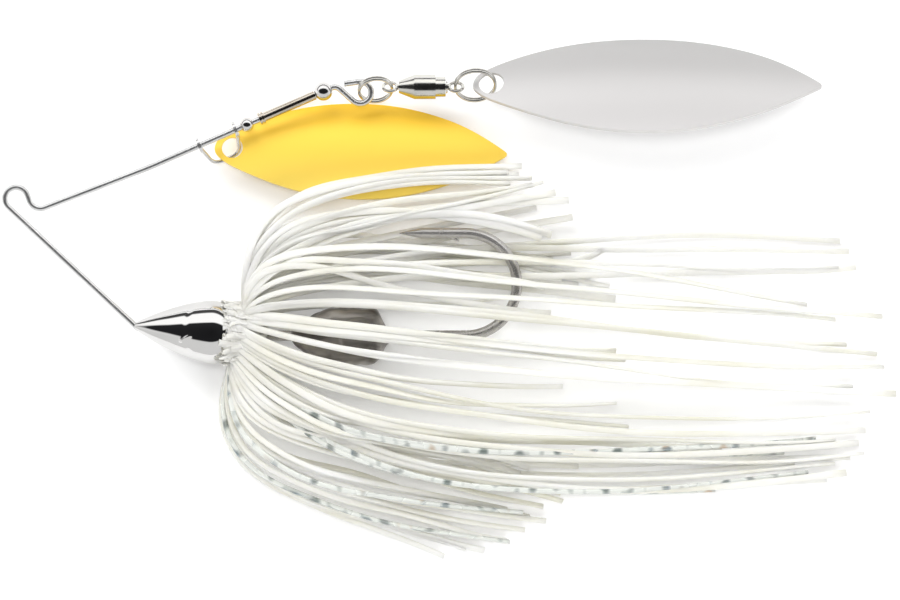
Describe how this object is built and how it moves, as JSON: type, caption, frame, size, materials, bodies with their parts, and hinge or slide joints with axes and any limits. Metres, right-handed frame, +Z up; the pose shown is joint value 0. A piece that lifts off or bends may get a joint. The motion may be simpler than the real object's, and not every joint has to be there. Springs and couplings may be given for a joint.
{
  "type": "spinnerbait fishing lure",
  "caption": "Wire-armed fishing lure with a chrome bullet head, single hook, willow-leaf blades on clevis and swivel, and a white strand skirt, lying on its side.",
  "frame": {"origin": "centre of the open line-tie bend in the wire, in the plane of the wire", "axes": "+X towards the skirt's tail, +Y towards the blade arm, +Z up from the surface that the lure lies on, square to the plane of the wire"},
  "size_m": [0.1405, 0.0793, 0.015],
  "materials": {
    "stainless_wire": "bright drawn stainless spring wire",
    "head_chrome": "bright chrome plate",
    "hook_black_nickel": "black nickel",
    "weight_nickel": "dull dark nickel",
    "collar_rubber": "translucent white rubber",
    "flash_strands": "clear silicone with a foil bar print",
    "clevis_nickel": "bright nickel",
    "gold_plate": "polished gold plate",
    "nickel_plate": "satin nickel plate",
    "tube_nickel": "worn nickel on brass",
    "swivel_nickel": "nickel plate",
    "bead_nickel": "polished nickel plate",
    "ring_steel": "bright stainless",
    "skirt_silicone": "translucent white silicone"
  },
  "bodies": {
    "frame": {"frame_wire": "stainless_wire", "head": "head_chrome", "hook": "hook_black_nickel", "keel_weight": "weight_nickel", "skirt_collar": "collar_rubber", "skirt_bunch": "skirt_silicone", "skirt_upper_edge": "skirt_silicone", "skirt_upper_tails": "skirt_silicone", "skirt_crown_tails": "skirt_silicone", "skirt_lower_tails": "skirt_silicone", "skirt_flash": "flash_strands", "skirt_lower_fan": "skirt_silicone", "skirt_table_tails": "skirt_silicone", "skirt_under_gap": "skirt_silicone"},
    "front_bead": {"front_bead": "bead_nickel"},
    "clevis": {"clevis": "clevis_nickel"},
    "front_blade": {"front_blade": "gold_plate"},
    "spacer_tube": {"spacer_tube": "tube_nickel", "tube_collar_front": "tube_nickel", "tube_collar_rear": "tube_nickel"},
    "rear_bead": {"rear_bead": "bead_nickel"},
    "front_ring": {"front_split_ring": "ring_steel"},
    "swivel_barrel": {"swivel_barrel": "swivel_nickel", "swivel_end_cap": "swivel_nickel", "swivel_front_eye": "swivel_nickel", "swivel_balls": "swivel_nickel"},
    "swivel_shaft": {"swivel_shaft": "swivel_nickel", "swivel_washer": "swivel_nickel"},
    "rear_ring": {"rear_split_ring": "ring_steel"},
    "rear_blade": {"rear_blade": "nickel_plate"}
  },
  "joints": [
    {"name": "front_bead_slide", "type": "slide", "parent": "frame", "child": "front_bead", "axis": [0.9164, 0.4003, 0], "range_m": [-0.007, 0.0008]},
    {"name": "clevis_spin", "type": "hinge", "parent": "front_bead", "child": "clevis", "pos_m": [0.0322, 0.00979, 0], "axis": [-0.9164, -0.4003, 0], "continuous": true},
    {"name": "front_blade_swing", "type": "hinge", "parent": "clevis", "child": "front_blade", "pos_m": [0.0353, 0.0083, -0.0022], "axis": [0, 0, 1], "range_deg": [-7, 3]},
    {"name": "spacer_tube_spin", "type": "hinge", "parent": "frame", "child": "spacer_tube", "pos_m": [0.042, 0.01407, 0], "axis": [0.9164, 0.4003, 0], "continuous": true},
    {"name": "rear_bead_spin", "type": "hinge", "parent": "frame", "child": "rear_bead", "pos_m": [0.04915, 0.0172, 0], "axis": [0.9164, 0.4003, 0], "continuous": true},
    {"name": "front_ring_swing", "type": "hinge", "parent": "frame", "child": "front_ring", "pos_m": [0.05485, 0.0171, 0], "axis": [0, 0, 1], "range_deg": [-8, 35]},
    {"name": "swivel_swing", "type": "hinge", "parent": "front_ring", "child": "swivel_barrel", "pos_m": [0.0601, 0.01784, 0], "axis": [0, 0, 1], "range_deg": [-5, 20]},
    {"name": "swivel_spin", "type": "hinge", "parent": "swivel_barrel", "child": "swivel_shaft", "pos_m": [0.066, 0.0179, 0], "axis": [1, 0, 0], "continuous": true},
    {"name": "rear_ring_swing", "type": "hinge", "parent": "swivel_shaft", "child": "rear_ring", "pos_m": [0.07025, 0.01795, 0], "axis": [0, 0, 1], "range_deg": [-5, 20]},
    {"name": "rear_blade_swing", "type": "hinge", "parent": "rear_ring", "child": "rear_blade", "pos_m": [0.07663, 0.0184, 0], "axis": [0, 0, 1], "range_deg": [-6, 15]}
  ]
}
